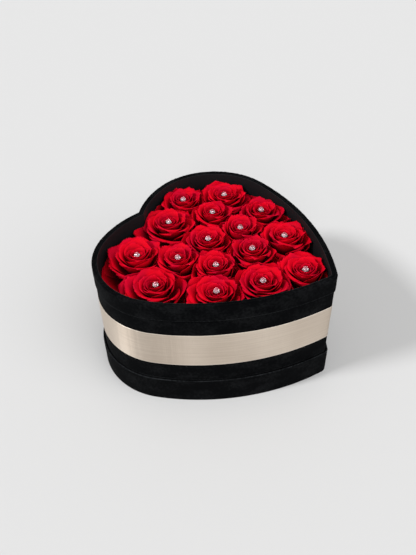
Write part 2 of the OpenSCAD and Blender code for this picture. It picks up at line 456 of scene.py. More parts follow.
@dataclass(frozen=True)
class Petal:
    """A velvety rose petal, with painted shade at its root and in the heart of the rose, and a
    painted highlight at its rim.
    """

    # root and heart are colours of painted shade, rim the colour of a painted highlight.
    root: Colour = (0.12, 0.0, 0.003)
    heart: Colour = (0.42, 0.0, 0.014)
    blade: Colour = (0.67, 0.0, 0.012)
    crimson: Colour = (0.46, 0.0, 0.022)
    rim: Colour = (0.72, 0.004, 0.034)
    sheen: Colour = (1.0, 0.02, 0.08)
    crimson_noise: Layer = Layer(34)
    crimson_step: Step = (0.47, 0.64, 0.0, 0.65)
    heart_shade_step: Step = (3.0, 15.0, 0.3, 0.0)
    covered_shade_step: Step = (2.0, 24.0, -0.17, 0.07)
    root_shade_step: Pair = (0.4, 0.82)
    clouds: Layer = Layer(90, detail=3)
    cloud_step: Step = (0.35, 0.75, 0.0, 0.16)
    rim_highlight_step: Step = (0.93, 1.0, 0.0, 0.55)
    veins: float = 60.0
    vein_sway: float = 3.0
    vein_step: Step = (0.2, 0.9, 1.0, 0.3)

    def material(self) -> Material:
        """Paints the petal by the numbers that the rose's tree stores.

        Returns:
            The material.
        """
        paint = Paint("petal")
        across, up, age = (paint.stored(label) for label in ("u", "v", "petal"))
        blade = paint.mix(paint.noise(self.crimson_noise).ramp(*self.crimson_step),
                          self.blade, self.crimson)
        # Painted shade: the innermost petals darker, deep in the heart of the rose.
        blade = paint.mix(age.ramp(*self.heart_shade_step), blade, self.heart)
        # Painted shade: each petal darker towards its root, more so on the inner petals that outer
        # ones cover.
        exposed = up + age.ramp(*self.covered_shade_step)
        blade = paint.mix(exposed.ramp(*self.root_shade_step), self.root, blade)
        clouds = paint.noise(self.clouds)
        blade = paint.mix(clouds.ramp(*self.cloud_step), blade, self.root)
        # Painted highlight: a lighter, pinker band along the rim of each petal.
        paint.set(Base_Color=paint.mix(up.ramp(*self.rim_highlight_step), blade, self.rim), Roughness=0.6,
                  Sheen_Weight=0.05, Sheen_Roughness=0.4, Sheen_Tint=self.sheen,
                  Specular_IOR_Level=0.04)
        veins = (across * self.veins + clouds * self.vein_sway).math("SINE") * 0.5 + 0.5
        paint.bump(veins * up.ramp(*self.vein_step), depth=0.12 * MM, strength=0.35)
        return paint.material


@dataclass(frozen=True)
class Plain:
    """A finish with a faint grain: paper, foam, board, plastic, metal or a stem."""

    name: str
    colour: Colour
    second: Colour
    roughness: float
    grain: float = 600.0
    depth: float = 0.1 * MM
    metallic: float = 0.0
    gloss: float = 0.5
    grain_step: Pair = (0.35, 0.7)

    def material(self) -> Material:
        """Paints the finish.

        Returns:
            The material.
        """
        paint = Paint(self.name)
        grain = paint.noise(Layer(self.grain, detail=3))
        paint.set(Base_Color=paint.mix(grain.ramp(*self.grain_step), self.colour, self.second),
                  Roughness=self.roughness, Metallic=self.metallic,
                  Specular_IOR_Level=self.gloss)
        paint.bump(grain, self.depth, strength=0.5)
        return paint.material


@dataclass(frozen=True)
class Crystal:
    """Clear cut glass: bright facets round a flat table, painted red as a reflection of the rose
    beneath.
    """

    facet: Colour = (0.8, 0.77, 0.79)
    # The table's colour is a painted reflection of the red rose beneath.
    table: Colour = (0.55, 0.07, 0.10)
    table_reflection_step: Pair = (0.55, 0.75)

    def material(self) -> Material:
        """Paints the crystal.

        Returns:
            The material.
        """
        paint = Paint("crystal")
        normal = paint.add("ShaderNodeNewGeometry").outputs["True Normal"]
        # Painted reflection: the faces that look up take the rose's red.
        flat = paint.split(normal, 2).ramp(*self.table_reflection_step)
        paint.set(Base_Color=paint.mix(flat, self.facet, self.table), Roughness=0.03, IOR=1.55,
                  Transmission_Weight=0.9, Specular_IOR_Level=0.5)
        return paint.material


@dataclass(frozen=True)
class Arc:
    """One arc of an outline."""

    x: float
    y: float
    radius: float
    start_deg: float
    end_deg: float
    steps: int

    def points(self) -> np.ndarray:
        """Points along the arc, without the last."""
        turn = np.radians(np.linspace(self.start_deg, self.end_deg, self.steps + 1)[:-1])
        return np.stack([self.x + self.radius * np.cos(turn),
                         self.y + self.radius * np.sin(turn)], 1)


@dataclass(frozen=True)
class HeartOutline:
    """The outer face of the box wall: crown, lobe, side and tip arcs, each tangent to the next."""

    lobe_x: float = 62 * MM
    lobe_r: float = 94.4 * MM
    crown_r: float = 143 * MM
    crown_deg: float = 82.0
    side_r: float = 322 * MM
    side_deg: float = -20.0
    tip_r: float = 7 * MM
    tip_min_r: float = 3 * MM
    tip_end_deg: float = -90.0
    steps: tuple[int, int, int, int] = (26, 58, 78, 6)

    def centre(self, radius: float, turn_deg: float) -> Pair:
        """The centre of an arc that meets the lobe's in this direction."""
        turn, reach = math.radians(turn_deg), self.lobe_r - radius
        return self.lobe_x + reach * math.cos(turn), reach * math.sin(turn)

    def half(self, offset: float) -> list[Arc]:
        """The arcs of the right half.

        Args:
            offset: How far the outline is moved outwards.

        Returns:
            Four arcs, from the cleft to the tip.
        """
        crown_x, crown_y = self.centre(self.crown_r, self.crown_deg)
        side_x, side_y = self.centre(self.side_r, self.side_deg)
        tip_r = max(self.tip_r + offset, self.tip_min_r)
        tip_y = side_y - math.sqrt((self.side_r + offset - tip_r) ** 2 - side_x**2)
        tip_deg = math.degrees(math.atan2(tip_y - side_y, -side_x))
        cleft_deg = math.degrees(math.acos(-crown_x / (self.crown_r + offset)))
        crown, lobe, side, tip = self.steps
        return [
            Arc(crown_x, crown_y, self.crown_r + offset, cleft_deg, self.crown_deg, crown),
            Arc(self.lobe_x, 0.0, self.lobe_r + offset, self.crown_deg, self.side_deg, lobe),
            Arc(side_x, side_y, self.side_r + offset, self.side_deg, tip_deg, side),
            Arc(0.0, tip_y, tip_r, tip_deg, self.tip_end_deg, tip),
        ]

    def shift(self) -> float:
        """How far the heart moves along Y so that its outline is centred."""
        crown, _, _, tip = self.half(0.0)
        return -(crown.y + crown.radius + tip.y - tip.radius) / 2

    def loop(self, offset: float) -> np.ndarray:
        """The whole outline, anticlockwise from the cleft.

        Args:
            offset: How far the outline is moved outwards.

        Returns:
            An array of points, the same number at every offset.
        """
        arcs = self.half(offset)
        right = np.concatenate([arc.points() for arc in arcs])
        tip = np.array([[0.0, arcs[-1].y - arcs[-1].radius]])
        left = right[:0:-1] * [-1, 1]
        ring = np.concatenate([right, tip, left])[::-1]
        return ring + [0.0, self.shift()]

    def outwards(self, offset: float = 0.0) -> np.ndarray:
        """The direction out of the heart at each point."""
        way = self.loop(offset + MM) - self.loop(offset)
        return way / np.linalg.norm(way, axis=1)[:, None]

    def stretch(self, offset: float = 0.0) -> np.ndarray:
        """The distance along the outline at each point, with the whole length at the end."""
        steps = np.roll(self.loop(offset), -1, 0) - self.loop(offset)
        return np.concatenate([[0.0], np.cumsum(np.linalg.norm(steps, axis=1))])


@dataclass(frozen=True)
class Wander:
    """A seeded, uneven line round the outline; its reach is how far down a frayed edge goes."""

    seed: int
    size: float
    fewest: int
    most: int
    reach: float = 0.0
    waves: int = 12

    def at(self, share: np.ndarray) -> np.ndarray:
        """The line's height.

        Args:
            share: Shares of the way round, in any shape.

        Returns:
            The height at each.
        """
        rng = np.random.default_rng(self.seed)
        turns = rng.integers(self.fewest, self.most, self.waves)
        starts = rng.uniform(0.0, math.tau, self.waves)
        waves = np.sin(math.tau * turns[:, None] * share.ravel() + starts[:, None]).sum(0)
        return (self.size * waves / math.sqrt(self.waves / 2)).reshape(share.shape)


@dataclass(frozen=True)
class Wall:
    """A wall: its thickness, the rounding of its edges and the points up each of its faces."""

    thick: float
    top_r: float
    low_r: float
    rows: int

    def section(self, out: float, low: float, high: float) -> np.ndarray:
        """The wall's closed section.

        Args:
            out: Offset of the outer face.
            low: Height of the lower edge.
            high: Height of the upper edge.

        Returns:
            Points of offset and height, anticlockwise.
        """
        low_r, top_r, inner = self.low_r, self.top_r, out - self.thick
        corners = [(out - low_r, low + low_r, low_r), (out - top_r, high - top_r, top_r),
                   (inner + top_r, high - top_r, top_r), (inner + low_r, low + low_r, low_r)]
        points: list[np.ndarray] = []
        for n, (x, z, r) in enumerate(corners):
            start = QUARTER_DEG * (n - 1)
            turn = np.radians(np.linspace(start, start + QUARTER_DEG, CORNER_POINTS))
            points.append(np.stack([x + r * np.cos(turn), z + r * np.sin(turn)], 1))
            if n % 2 == 0:
                heights = np.linspace(z, corners[n + 1][1], self.rows + 2)[1:-1]
                points.append(np.stack([np.full(self.rows, inner if n else out), heights], 1))
        return np.concatenate(points)


def piece(mesh: Mesh, name: str, finish: Material | None, body: Body, slot: Slot,
          node: str) -> bpy.types.Object:
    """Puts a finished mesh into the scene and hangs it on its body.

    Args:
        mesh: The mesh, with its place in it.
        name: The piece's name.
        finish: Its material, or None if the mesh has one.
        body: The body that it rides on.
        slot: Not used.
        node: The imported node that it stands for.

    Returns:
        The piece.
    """
    thing = put(name, mesh)
    mesh.name = name
    if finish:
        mesh.materials.clear()
        mesh.materials.append(finish)
    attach(thing, body.value)
    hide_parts(node)
    log.info("%s: %d faces on %s", name, len(mesh.polygons), body.value)
    return thing


def middle(name: str) -> Vector:
    """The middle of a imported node."""
    low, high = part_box(name)
    return (low + high) / 2


def turn_outwards(mesh: Mesh) -> None:
    """Turns a mesh's faces outwards.

    Args:
        mesh: A closed mesh.
    """
    work = bmesh.new()
    work.from_mesh(mesh)
    bmesh.ops.recalc_face_normals(work, faces=work.faces)
    work.to_mesh(mesh)
    work.free()


@dataclass(frozen=True)
class Sweep:
    """Shapes that follow the heart's outline."""

    outline: HeartOutline
    slant: float = 0.13
    sharp_deg: float = 50.0

    def ring(self, section: np.ndarray, sway: Wander | None = None,
             fray: Wander | None = None) -> Mesh:
        """A closed wall round the heart.

        Args:
            section: The wall's closed section, as offset and height.
            sway: How the wall wanders in and out.
            fray: How the upper edge wanders up and down.

        Returns:
            The mesh, with its length and height in the map called cloth.
        """
        loops = np.stack([self.outline.loop(offset) for offset, _ in section])
        rows, count = loops.shape[:2]
        length = self.outline.stretch()
        share = np.tile(length[:-1] / length[-1], (rows, 1))
        height = np.tile(section[:, 1:2], (1, count))
        if sway:
            rise = (height - height.min()) / max(np.ptp(height), MM)
            moved = sway.at(share + self.slant * rise) * np.sin(math.pi * rise)
            loops = loops + self.outline.outwards()[None] * moved[..., None]
        if fray:
            lift = np.clip((height - height.max() + fray.reach) / MM, 0.0, 1.0)
            height = height + lift * fray.at(share)
        points = np.concatenate([loops, height[..., None]], 2).reshape(-1, 3)
        corner = np.arange(rows * count).reshape(rows, count)
        above = np.roll(corner, -1, 0)
        faces = np.stack([corner, np.roll(corner, -1, 1), np.roll(above, -1, 1), above], -1)
        mesh = bpy.data.meshes.new("ring")
        mesh.from_pydata(points.tolist(), [], faces.reshape(-1, 4).tolist())
        ends = np.stack([length[:-1], length[1:], length[1:], length[:-1]], 1).ravel()
        cloth = np.stack([np.tile(ends, rows), height.ravel()[faces.ravel()]], 1)
        mesh.uv_layers.new(name="cloth").data.foreach_set("uv", cloth.ravel())
        mesh.shade_smooth()
        mesh.set_sharp_from_angle(angle=math.radians(self.sharp_deg))
        turn_outwards(mesh)
        return mesh

    def plate(self, offset: float, low: float, high: float) -> Mesh:
        """A board of the heart's shape.

        Args:
            offset: How far its edge lies outside the outline.
            low: Height of its underside.
            high: Height of its upper side.

        Returns:
            The closed mesh.
        """
        edge = self.outline.loop(offset)
        count = len(edge)
        points = [(x, y, z) for z in (low, high) for x, y in edge]
        sides = [(n, (n + 1) % count, (n + 1) % count + count, n + count) for n in range(count)]
        caps = [tuple(reversed(range(count))), tuple(range(count, 2 * count))]
        mesh = bpy.data.meshes.new("plate")
        mesh.from_pydata(points, [], sides + caps)
        turn_outwards(mesh)
        return mesh


@dataclass(frozen=True)
class LidTray:
    """The lid, upturned under the box."""

    sweep: Sweep
    velvet: Material
    play: float = 1.8 * MM
    skirt: Wall = Wall(1.8 * MM, 0.75 * MM, 0.6 * MM, 14)
    height: float = 38.6 * MM
    panel: float = 2 * MM
    sway: Wander = Wander(3, 0.12 * MM, 2, 9)
    fray: Wander = Wander(4, 0.16 * MM, 20, 190, reach=1.6 * MM)

    def build(self) -> None:
        """Makes the skirt with its frayed edge and the panel under it."""
        section = self.skirt.section(self.play + self.skirt.thick, 0.0, self.height)
        skirt = self.sweep.ring(section, self.sway, self.fray)
        piece(skirt, "lid_skirt_velvet", self.velvet, Body.LID, Slot.VELVET, "lid_skirt")
        panel = self.sweep.plate(self.play, 0.0, self.panel)
        piece(panel, "lid_panel_velvet", self.velvet, Body.LID, Slot.VELVET, "lid_panel")


@dataclass(frozen=True)
class Casing:
    """The walls of the box: velvet wall, collar, inner sleeve and lining."""

    sweep: Sweep
    velvet: Material
    paper: Material
    floor: float = 2 * MM
    inner_floor: float = 4.4 * MM
    rim: float = 171 * MM
    wall: Wall = Wall(2.2 * MM, 0.1 * MM, 0.8 * MM, 30)
    wall_sway: Wander = Wander(5, 0.15 * MM, 2, 7)
    collar: float = 1.2 * MM
    collar_low: float = 146 * MM
    collar_top_r: float = 1.3 * MM
    collar_drop: float = 0.2 * MM
    collar_hem: float = 0.6 * MM
    collar_rows: int = 12
    hem_in: float = 0.5 * MM
    hem_edge: Pair = (0.1 * MM, 0.2 * MM)
    fold_drop: float = 0.8 * MM
    fold_edge: Pair = (0.4 * MM, 0.25 * MM)
    collar_sway: Wander = Wander(6, 0.1 * MM, 3, 12)
    collar_fray: Wander = Wander(7, 0.13 * MM, 15, 160, reach=1.8 * MM)
    sleeve: Wall = Wall(3.1 * MM, 1.3 * MM, 0.3 * MM, 30)
    sleeve_gap: float = 0.1 * MM
    sleeve_drop: float = 0.5 * MM
    sleeve_fray: Wander = Wander(8, 0.15 * MM, 15, 160, reach=2.5 * MM)
    lining: Wall = Wall(0.6 * MM, 0.25 * MM, 0.25 * MM, 12)
    lining_drop: float = 1.4 * MM
    lining_sway: Wander = Wander(9, 0.12 * MM, 3, 10)

    def build(self) -> None:
        """Makes the four walls."""
        ring = self.sweep.ring
        velvet = (self.velvet, Body.BOX, Slot.VELVET)
        wall = self.wall.section(0.0, self.floor, self.rim - self.collar)
        piece(ring(wall, self.wall_sway), "wall_velvet", *velvet, "body_wall")
        collar = ring(self.collar_section(), self.collar_sway, self.collar_fray)
        piece(collar, "collar_velvet", *velvet, "rim_collar")
        inside = -self.wall.thick - self.sleeve_gap
        sleeve = self.sleeve.section(inside, self.inner_floor, self.rim - self.sleeve_drop)
        piece(ring(sleeve, None, self.sleeve_fray), "sleeve_velvet", *velvet, "inner_sleeve")
        inside -= self.sleeve.thick
        lining = self.lining.section(inside, self.inner_floor, self.rim - self.lining_drop)
        piece(ring(lining, self.lining_sway), "lining_paper", self.paper, Body.BOX, Slot.LINING,
              "lining")

    def collar_section(self) -> np.ndarray:
        """The collar's section: a thin side that turns over the wall's edge.

        Returns:
            Points of offset and height, anticlockwise.
        """
        turn = np.radians(np.linspace(0, QUARTER_DEG, CORNER_POINTS + 1))
        top_r, top = self.collar_top_r, self.rim - self.collar_drop
        over = np.stack([self.collar - top_r + top_r * np.cos(turn),
                         top - top_r + top_r * np.sin(turn)], 1)
        heights = np.linspace(self.collar_low + self.collar_hem, over[0, 1], self.collar_rows + 1)
        side = np.stack([np.full(self.collar_rows, self.collar), heights[:-1]], 1)
        inner_edge = np.array([
            [-self.wall.thick + self.fold_edge[0], self.rim - self.fold_edge[1]],
            [-self.wall.thick, self.rim - self.fold_drop],
            [-self.wall.thick, self.rim - self.collar],
            [0.0, self.rim - self.collar],
            [0.0, self.collar_low],
            [self.collar - self.hem_in, self.collar_low],
            [self.collar - self.hem_edge[0], self.collar_low + self.hem_edge[1]]])
        return np.concatenate([side, over, inner_edge])


@dataclass(frozen=True)
class Ribbon:
    """The satin ribbon round the box."""

    sweep: Sweep
    satin: Material
    low: float = 67 * MM
    width: float = 54 * MM
    cloth: Wall = Wall(0.36 * MM, 0.16 * MM, 0.16 * MM, 26)
    seat: float = 0.08 * MM
    sway: Wander = Wander(11, 0.05 * MM, 6, 40)
    edge_sway: Wander = Wander(12, 0.12 * MM, 4, 30, reach=27 * MM)

    def build(self) -> None:
        section = self.cloth.section(self.seat + self.cloth.thick, self.low, self.low + self.width)
        mesh = self.sweep.ring(section, self.sway, self.edge_sway)
        band = piece(mesh, "ribbon_satin", self.satin, Body.BOX, Slot.RIBBON, "ribbon_band")
        length = float(self.sweep.outline.stretch(self.cloth.thick)[-1])


class Chance(NamedTuple):
    """The limits of a number that each petal draws for itself, and its own addition to the seed."""

    low: float
    high: float
    salt: int


class Waves(NamedTuple):
    """Waves of a petal: their noise, how they grow towards the rim, their reach and rise."""

    scale: float
    detail: float
    power: float
    reach: Line
    rise: Line


@dataclass(frozen=True)
class PetalForm:
    """The petals' numbers, which follow each one's place: 0 in the bud, 1 outside, then guards."""

    root_tilt: Line = (2.0, 72.0)
    root_tilt_power: float = 1.7
    rim_tilt: tuple[Step, ...] = ((0.05, 1.0, -12.0, 80.0), (1.0, 1.1, 0.0, 25.0))
    tilt_chance: Chance = Chance(-12.0, 18.0, 1)
    root_r: Line = (1.2 * MM, 2.6 * MM)
    root_z: Line = (-13 * MM, -15 * MM)
    rim_r: Line = (0.07, 0.93)
    rim_r_power: float = 1.4
    rim_r_most: float = 1.08
    guard_r: Step = (1.0, 1.1, 0.0, 12 * MM)
    rim_r_chance: Chance = Chance(0.95, 1.05, 2)
    arch: float = 1.5 * MM
    droop: tuple[Step, ...] = ((0.0, 0.42, 10 * MM, 0.0), (0.6, 1.04, 0.0, 8 * MM),
                               (1.0, 1.12, 0.0, 16 * MM))
    rim_z_chance: Chance = Chance(-1.6 * MM, 1.6 * MM, 3)
    belly: Line = (9 * MM, 20 * MM)
    lip: Line = (2 * MM, 4.5 * MM)
    waist: Step = (0.0, 0.62, 0.45, 1.0)
    narrow_from: float = 0.6
    narrow_power: float = 2.6
    narrow_share: float = 0.84
    width: Line = (13 * MM, 19 * MM)
    width_at_r: float = 40 * MM
    wrap_least_r: float = 2.5 * MM
    wrap_most: float = 2.5
    golden_angle: float = math.radians(137.5)
    spin_chance: Chance = Chance(-0.16, 0.16, 4)
    swirl: Line = (0.18, -0.10)
    noise_steps: Triple = (3.7, 1.5, 1.1)
    ripple: Waves = Waves(1.3, 1.0, 2.0, (1.5 * MM, 7 * MM), (4 * MM, 0.0))
    ripple_step: Pair = (0.45, 1.0)
    frill: Waves = Waves(5.0, 1.0, 5.0, (0.8 * MM, 3.5 * MM), (3 * MM, 0.0))
    crimp: Waves = Waves(13.0, 0.0, 8.0, (0.4 * MM, 2.6 * MM), (0.4 * MM, 2.2 * MM))
    tip: float = 2.5 * MM
    tip_power: float = 6.0
    side_drop: Line = (1 * MM, 4 * MM)
    side_power: float = 2.5
    fold: float = 4 * MM
    fold_power: float = 5.0


class RoseTree(Recipe):
    """The tree of a rose: sheets on a golden spiral, each bent by its place in the spiral."""

    def __init__(self, form: PetalForm) -> None:
        """Builds the whole tree.

        Args:
            form: The numbers of its petals.
        """
        super().__init__("spiral_rose", Petals="Int", Guards="Int", Columns="Int", Rows="Int",
                         Radius="Float", Rim="Float", Turn="Float", LeanX="Float",
                         LeanY="Float", Seed="Int", Material="Material")
        self.form = form
        sheets = self.sheets()
        self.number, self.across, self.up = (self.named(label) for label in ("petal", "u", "v"))
        self.place = self.number / (self.given("Petals") - self.given("Guards") - 1.0)
        reach, rise = self.profile()
        angle = self.angle(reach)
        reach, rise = self.curl(reach, rise)
        lean = self.place * self.up * self.up
        spot = self.vector(reach * angle.math("COSINE") + self.given("LeanX") * lean,
                           reach * angle.math("SINE") + self.given("LeanY") * lean, rise)
        bent = self.run("GeometryNodeSetPosition", {"Geometry": sheets, "Position": spot})
        self.finish(bent, smooth=True)

    def sheets(self) -> Socket:
        """A flat sheet for every petal.

        Returns:
            The sheets, with each one's number and its own coordinates stored.
        """
        line = self.run("GeometryNodeMeshLine",
                        {"Count": self.given("Petals"), "Offset": (0.0, 0.0, 0.0)})
        line = self.store(line, "petal", Num(self, self.run("GeometryNodeInputIndex", {})))
        sheet = self.run("GeometryNodeMeshGrid", {
            "Size X": 2.0, "Size Y": 1.0, "Vertices X": self.given("Columns"),
            "Vertices Y": self.given("Rows")})
        spot = self.run("GeometryNodeInputPosition", {})
        sheet = self.store(sheet, "u", self.split(spot, 0))
        sheet = self.store(sheet, "v", self.split(spot, 1) + 0.5)
        sheets = self.run("GeometryNodeInstanceOnPoints", {"Points": line, "Instance": sheet})
        return self.run("GeometryNodeRealizeInstances", {"Geometry": sheets})

    def chance(self, limits: Chance) -> Num:
        """A seeded number of each petal's own."""
        return Num(self, self.run("FunctionNodeRandomValue", {
            "Min": limits.low, "Max": limits.high, "ID": self.number,
            "Seed": self.given("Seed") + limits.salt}, data_type="FLOAT"))

    def steps(self, steps: tuple[Step, ...]) -> Num:
        """The sum of several steps that follow the petal's place."""
        parts = [self.place.ramp(*step) for step in steps]
        return sum(parts[1:], parts[0])

    def profile(self) -> tuple[Num, Num]:
        """The curve of a petal from its root to its rolled rim.

        Returns:
            How far out and how high its points are.
        """
        form, place = self.form, self.place
        root_r, root_z = place.line(form.root_r), place.line(form.root_z)
        root_tilt = (place ** form.root_tilt_power).line(form.root_tilt) * RAD
        rim_tilt = (self.steps(form.rim_tilt) + self.chance(form.tilt_chance)) * RAD
        share = (place.math("MINIMUM", form.rim_r_most) ** form.rim_r_power).line(form.rim_r)
        rim_r = (self.given("Radius") * share * self.chance(form.rim_r_chance)
                 + place.ramp(*form.guard_r))
        arch = (place * math.pi).math("SINE") * form.arch
        rim_z = (self.given("Rim") + arch - self.steps(form.droop)
                 + self.chance(form.rim_z_chance))
        belly, lip = place.line(form.belly), place.line(form.lip)
        reach = self.bezier(root_r, root_r + root_tilt.math("SINE") * belly,
                            rim_r - rim_tilt.math("SINE") * lip, rim_r)
        rise = self.bezier(root_z, root_z + root_tilt.math("COSINE") * belly,
                           rim_z - rim_tilt.math("COSINE") * lip, rim_z)
        return reach, rise

    def bezier(self, start: Num, second: Num, third: Num, end: Num) -> Num:
        """One coordinate of a cubic curve up the petal."""
        at, left = self.up, 1.0 - self.up
        return (start * left * left * left + second * left * left * at * 3.0
                + third * left * at * at * 3.0 + end * at * at * at)

    def angle(self, reach: Num) -> Num:
        """Wraps a petal about the rose's middle.

        Args:
            reach: How far out its points are.

        Returns:
            The direction of its points.
        """
        form = self.form
        past = ((self.up - form.narrow_from) / (1.0 - form.narrow_from)).math("MAXIMUM", 0.0)
        narrowing = past ** form.narrow_power * form.narrow_share
        width = (self.up.ramp(*form.waist) * (1.0 - narrowing).math("SQRT")
                 * self.place.line(form.width) * (self.given("Radius") / form.width_at_r))
        wrap = self.across * width / reach.math("MAXIMUM", form.wrap_least_r)
        wrap = wrap.math("MAXIMUM", -form.wrap_most).math("MINIMUM", form.wrap_most)
        return (self.number * form.golden_angle + self.given("Turn") + self.chance(form.spin_chance)
                + wrap)

    def curl(self, reach: Num, rise: Num) -> tuple[Num, Num]:
        """Adds the swirl, the pointed tip, the falling sides and the waves of a petal.

        Args:
            reach: How far out its points are.
            rise: How high they are.

        Returns:
            The new reach and rise.
        """
        form, place, up, side = self.form, self.place, self.up, abs(self.across)
        along, wide, high = form.noise_steps
        where = self.vector(self.number * along + self.given("Seed"), self.across * wide,
                            up * high)
        reach = reach * (self.across * place.line(form.swirl) + 1.0)
        reach = reach + (1.0 - side) * up ** form.tip_power * place * form.tip
        rise = rise - side ** form.side_power * up * place.line(form.side_drop)
        rise = rise - side * side * up ** form.fold_power * place * form.fold
        for waves in (form.ripple, form.frill, form.crimp):
            noise = self.blots(where, waves.scale, waves.detail) - 0.5
            growth = up ** waves.power
            outer = up.ramp(*form.ripple_step) if waves is form.ripple else growth
            reach = reach + noise * outer * place.line(waves.reach)
            rise = rise + noise * growth * place.line(waves.rise)
        return reach, rise


class Bloom(NamedTuple):
    """One rose: its place, size and turn, and the way in which its outer petals lean."""

    x: float
    y: float
    share: float
    turn: float
    lean: Pair
    seed: int


@dataclass(frozen=True)
class Bouquet:
    """The sixteen roses, which press on those whose stems stand within so many radii."""

    outline: HeartOutline
    petal: Material
    rose_r: float = 36 * MM
    spread: float = 1.17
    root_h: float = 149 * MM
    rim: float = 13 * MM
    gap: float = -1.5 * MM
    wall_offset: float = -7 * MM
    petals: int = 26
    guards: int = 6
    columns: int = 23
    rows: int = 19
    petal_t: float = 0.3 * MM
    within_radii: float = 2.4
    soft: float = 3.5 * MM
    lift: float = 0.3
    shares: tuple[float, ...] = (0.90, 1, 0.92, 0.86, 1, 0.84, 0.88, 0.94,
                                 1, 0.90, 0.86, 0.86, 0.92, 1, 0.98, 1)
    turns: tuple[int, ...] = (0, 205, 74, 310, 148, 20, 262, 118,
                              330, 55, 190, 285, 95, 235, 10, 165)
    rightward: tuple[int, ...] = (0, 0, 3, 0, 0, 5, 0, 2, -1, -3, -4, 0, -5, -5, -5, 0)
    backward: tuple[int, ...] = (3, 0, -4, 0, 0, 3, 0, 5, 9, 3, 2, 0, 4, 0, 0, 0)
    right_x: float = 0.58
    right_y: float = -0.82

    def blooms(self) -> list[Bloom]:
        """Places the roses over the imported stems, leaning as the photograph shows.

        Returns:
            The roses, in the stems' order.
        """
        found = []
        table = zip(self.shares, self.turns, self.rightward, self.backward, strict=True)
        for n, (share, turn, right, back) in enumerate(table, start=1):
            stem = middle(f"stem_{n:02d}")
            lean = ((self.right_x * right - self.right_y * back) * MM,
                    (self.right_y * right + self.right_x * back) * MM)
            found.append(Bloom(stem.x, stem.y, share, math.radians(turn), lean, n))
        return found

    def build(self) -> None:
        """Grows every rose, presses it into its place and hangs it on the insert."""
        tree = RoseTree(PetalForm())
        blooms = self.blooms()
        for n, bloom in enumerate(blooms, start=1):
            mesh = tree.grow(f"bloom_{n:02d}", {
                "Petals": self.petals + self.guards, "Guards": self.guards,
                "Columns": self.columns, "Rows": self.rows,
                "Radius": self.rose_r * bloom.share * self.spread, "Rim": self.rim,
                "Turn": bloom.turn, "LeanX": bloom.lean[0], "LeanY": bloom.lean[1],
                "Seed": bloom.seed, "Material": self.petal}, self.petal_t)
            self.settle(mesh, bloom, blooms)
            piece(mesh, f"bloom_{n:02d}", None, Body.INSERT, Slot.PETAL, f"rose_{n:02d}")

    def settle(self, mesh: Mesh, bloom: Bloom, blooms: list[Bloom]) -> None:
        """Moves a rose to its place and presses it softly against its neighbours and the wall.

        Args:
            mesh: The rose, about the origin.
            bloom: The rose's place and size.
            blooms: All the roses.
        """
        points = np.empty(len(mesh.vertices) * 3)
        mesh.vertices.foreach_get("co", points)
        points = points.reshape(-1, 3)
        points += [bloom.x, bloom.y, self.root_h]
        flat = points[:, :2]
        lift = np.zeros(len(flat))
        for other in blooms:
            way = np.array([other.x - bloom.x, other.y - bloom.y])
            apart = float(np.linalg.norm(way))
            if other is bloom or apart > self.within_radii * self.rose_r:
                continue
            way /= apart
            own, theirs = self.rose_r * bloom.share, self.rose_r * other.share
            limit = (apart**2 + own**2 - theirs**2) / (2 * apart) - self.gap / 2
            back = self.press((flat - [bloom.x, bloom.y]) @ way, limit)
            flat -= back[:, None] * way
            lift += back
        ring = self.outline.loop(self.wall_offset)
        nearest = np.argmin(((flat[:, None] - ring[None]) ** 2).sum(-1), 1)
        out = self.outline.outwards(self.wall_offset)[nearest]
        back = self.press(((flat - ring[nearest]) * out).sum(1), 0.0)
        flat -= back[:, None] * out
        lift += back
        points[:, 2] += self.lift * lift
        mesh.vertices.foreach_set("co", points.ravel())
        mesh.update()

    def press(self, depth: np.ndarray, limit: float) -> np.ndarray:
        """How far points are pushed back so that none passes the limit."""
        over = np.maximum(depth - (limit - self.soft), 0.0)
        return over - self.soft * (1.0 - np.exp(-over / self.soft))


class Facets(NamedTuple):
    """A ring of a stone's corners: its share of the width and height, and its turn."""

    corners: int
    wide: float
    high: float
    turn_deg: float


@dataclass(frozen=True)
class Stones:
    """The cut crystals on the pins."""

    crystal: Material
    radius: float = 3.5 * MM
    tall: float = 5.4 * MM
    count: int = 16
    rings: tuple[Facets, ...] = (
        Facets(8, 0.52, 1.0, 0.0), Facets(8, 0.80, 0.86, 22.5), Facets(16, 1.0, 0.60, 11.2),
        Facets(16, 1.0, 0.52, 11.2), Facets(8, 0.62, 0.12, 0.0), Facets(8, 0.4, 0.0, 22.5))

    def recipe(self) -> Recipe:
        """A brilliant cut: the hull of its rings of corners, set on every pin.

        Returns:
            The tree.
        """
        tree = Recipe("brilliant", Points="Geometry", Radius="Float", Depth="Float",
                      Material="Material")
        joined = tree.add("GeometryNodeJoinGeometry")
        for ring in self.rings:
            circle = tree.run("GeometryNodeMeshCircle", {
                "Vertices": ring.corners, "Radius": tree.given("Radius") * ring.wide})
            tree.feed(joined.inputs[0], tree.run("GeometryNodeTransform", {
                "Geometry": circle,
                "Translation": tree.vector(0.0, 0.0, tree.given("Depth") * ring.high),
                "Rotation": (0.0, 0.0, math.radians(ring.turn_deg))}))
        stone = tree.run("GeometryNodeConvexHull", {"Geometry": joined.outputs[0]})
        tree.finish(tree.run("GeometryNodeInstanceOnPoints", {
            "Points": tree.source.outputs["Points"], "Instance": stone}), smooth=False)
        return tree

    def build(self) -> None:
        """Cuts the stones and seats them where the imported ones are."""
        low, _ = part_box("crystals")
        pins = [middle(f"pin_{n:02d}") for n in range(1, self.count + 1)]
        seats = [(pin.x, pin.y, low.z) for pin in pins]
        mesh = self.recipe().grow("crystals_cut", {"Radius": self.radius, "Depth": self.tall,
                                                   "Material": self.crystal}, points=seats)
        piece(mesh, "crystals_cut", None, Body.INSERT, Slot.CRYSTAL, "crystals")


class Lamp(NamedTuple):
    """A lamp far away: its azimuth, height and width in degrees, and its strength."""

    name: str
    azimuth: float
    height: float
    width: float
    power: float


